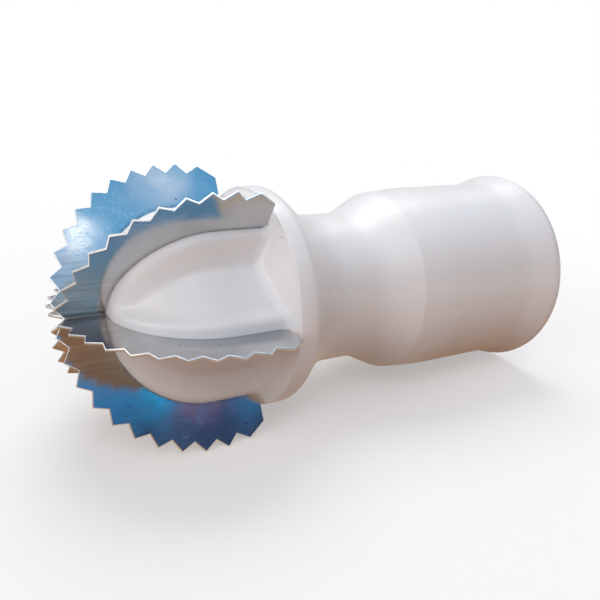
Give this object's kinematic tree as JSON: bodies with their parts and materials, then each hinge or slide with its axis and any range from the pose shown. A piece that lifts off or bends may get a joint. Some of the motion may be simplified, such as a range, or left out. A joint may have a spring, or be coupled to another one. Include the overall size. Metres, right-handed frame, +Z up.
{
  "type": "coconut scraper attachment",
  "caption": "White moulded sleeve with a ribbed dome and radiating quarter-round saw-toothed steel blades; it slides over a grinder's spindle to scrape coconut halves.",
  "frame": {"origin": "centre of the sleeve's open mouth, on the turning axis", "axes": "+X along the turning axis, out of the sleeve's mouth; the toothed head points to -X; +Z up with the tool lying on its side, square to the mould's parting plane"},
  "size_m": [0.1205, 0.064, 0.0558],
  "materials": {
    "white_plastic": "gloss",
    "blade_steel": "polished",
    "bush_metal": "satin"
  },
  "bodies": {
    "root": {"scraper_body": "white_plastic", "front_lapped_blade": "blade_steel", "middle_lapped_blade": "blade_steel", "rear_lapped_blade": "blade_steel", "drive_bush": "bush_metal"}
  },
  "joints": []
}
